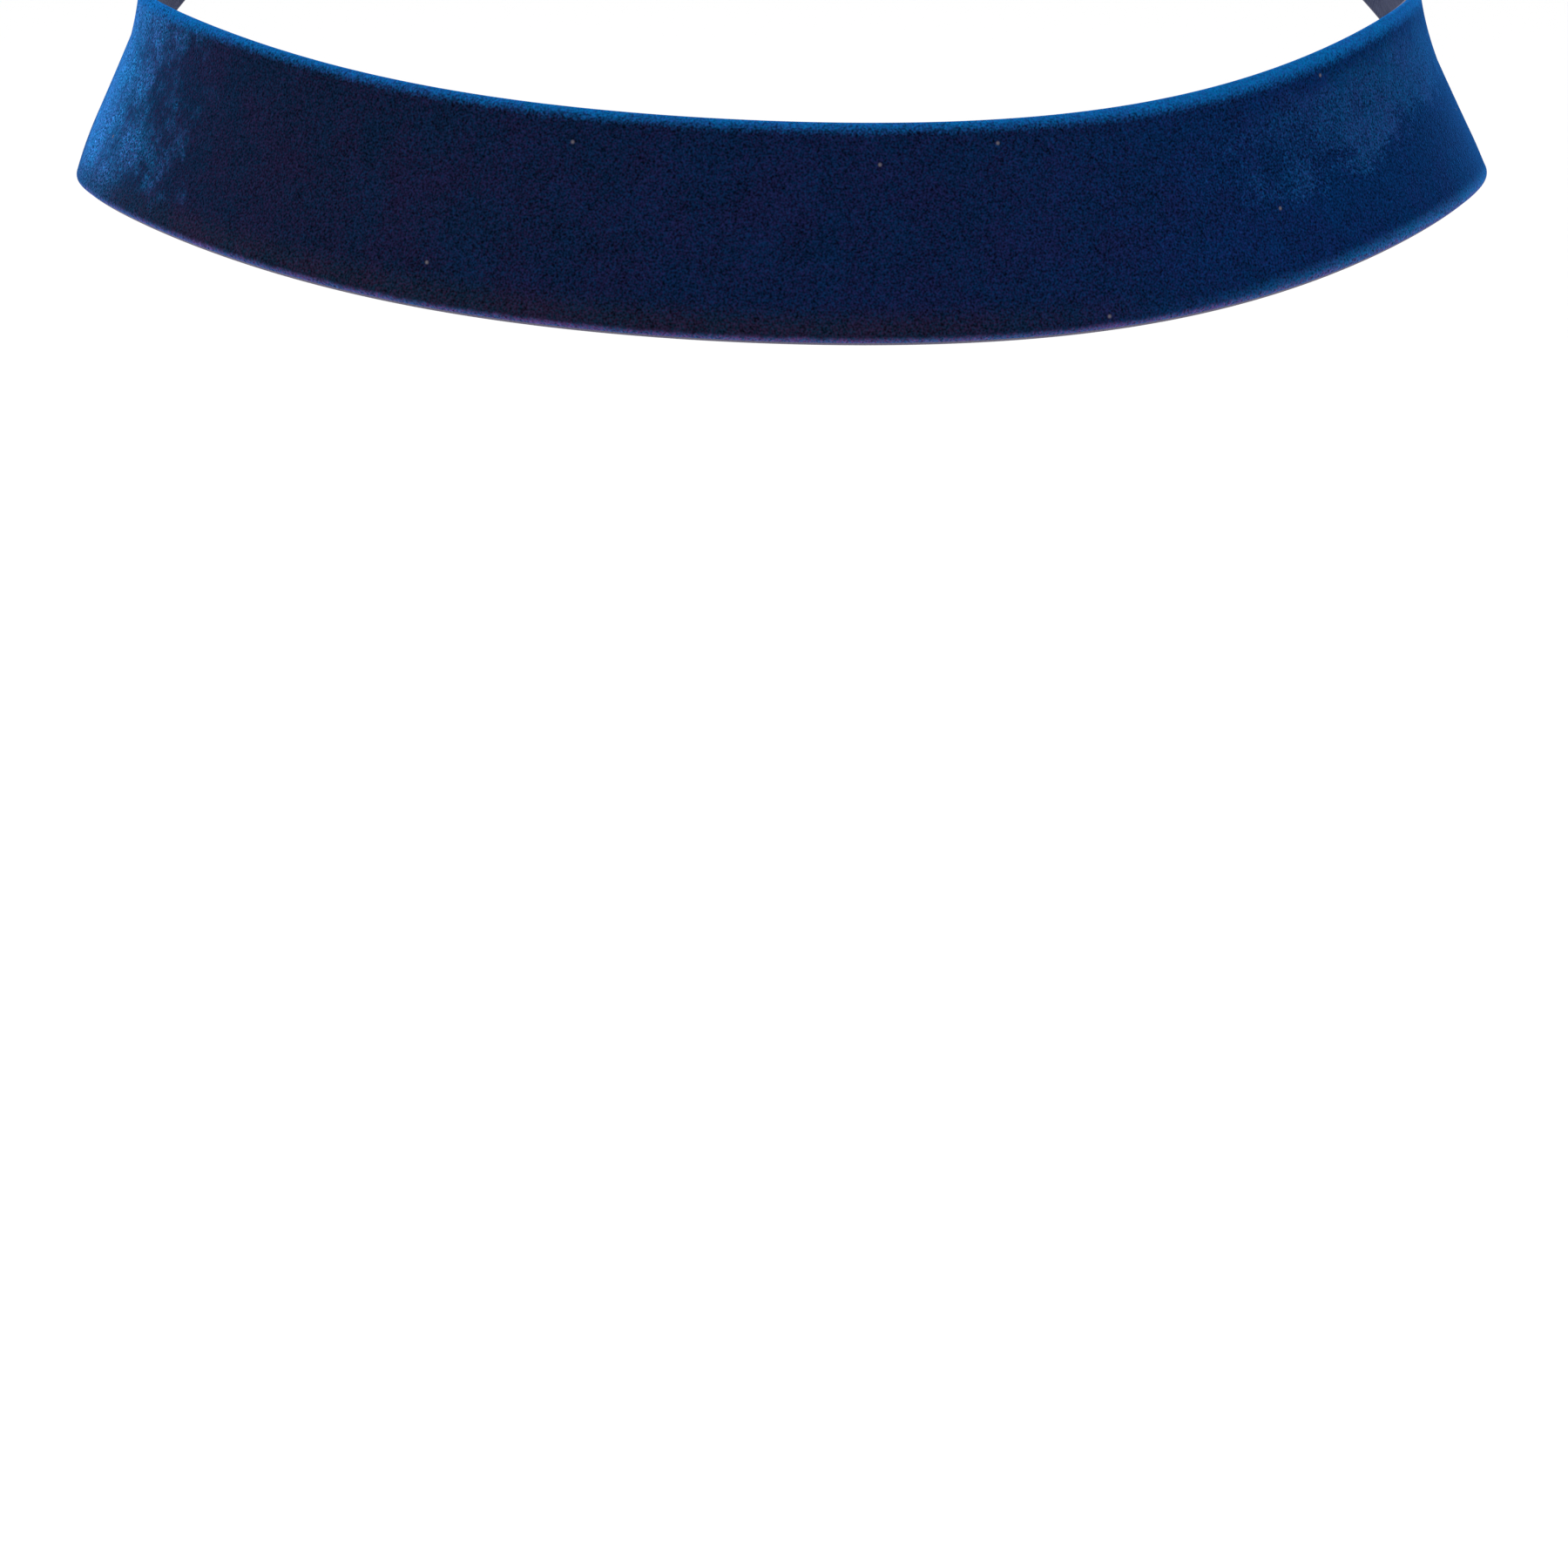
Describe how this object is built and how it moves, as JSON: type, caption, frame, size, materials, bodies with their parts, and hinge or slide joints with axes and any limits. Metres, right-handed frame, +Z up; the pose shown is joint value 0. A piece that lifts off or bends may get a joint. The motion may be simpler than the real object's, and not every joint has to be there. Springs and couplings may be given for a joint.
{
  "type": "choker necklace",
  "caption": "Plain blue velvet ribbon choker, a closed tapered loop worn round the neck, with a plain metal clasp behind.",
  "frame": {"origin": "on the neck's axis at the middle of the ribbon's width, where the necklace sits round the neck", "axes": "+Z up the neck, -Y to the front of the throat, +X to the viewer's right when the front is looked at"},
  "size_m": [0.1063, 0.1108, 0.033],
  "materials": {
    "velvet": "deep blue cut pile, matt with a soft bright sheen at grazing angles",
    "clasp_metal": "satin silver-tone plating"
  },
  "bodies": {
    "root": {"velvet_band": "velvet", "clasp": "clasp_metal"}
  },
  "joints": []
}
